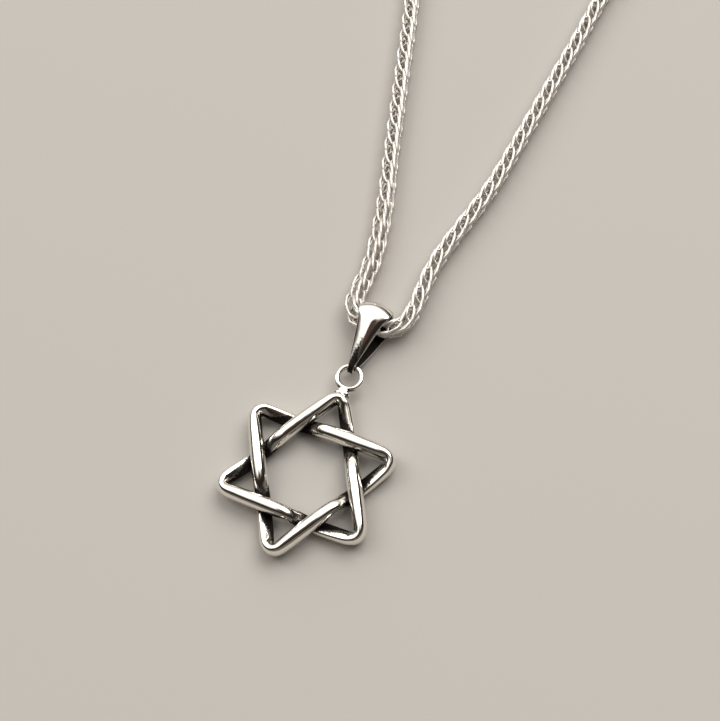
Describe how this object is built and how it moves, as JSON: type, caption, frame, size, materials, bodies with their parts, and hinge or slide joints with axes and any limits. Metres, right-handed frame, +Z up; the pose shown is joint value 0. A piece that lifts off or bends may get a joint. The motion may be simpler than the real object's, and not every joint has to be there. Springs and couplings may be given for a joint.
{
  "type": "star of david pendant necklace",
  "caption": "Silver star of interlaced triangles, hung by a tapered bail on a woven wheat chain with a round clasp. Jewel worn at the neck, here laid flat.",
  "frame": {"origin": "on the surface that the jewel lies on, under the middle of the whole as seen from above", "axes": "+Y from the star to the clasp at the chain's far end, +X to the right seen from above with the star nearest, +Z up off the surface"},
  "size_m": [0.1034, 0.2086, 0.0041],
  "materials": {
    "star_silver": "cast sterling silver, polished, with dark tarnish left in the dips",
    "bail_silver": "polished sterling silver sheet",
    "chain_silver": "bright sterling silver wire",
    "fitting_silver": "polished sterling silver"
  },
  "bodies": {
    "root": {"star": "star_silver", "bail": "bail_silver", "chain": "chain_silver", "cap_left": "fitting_silver", "cap_right": "fitting_silver", "jump_ring_left": "fitting_silver", "jump_ring_right": "fitting_silver", "clasp": "fitting_silver"}
  },
  "joints": []
}
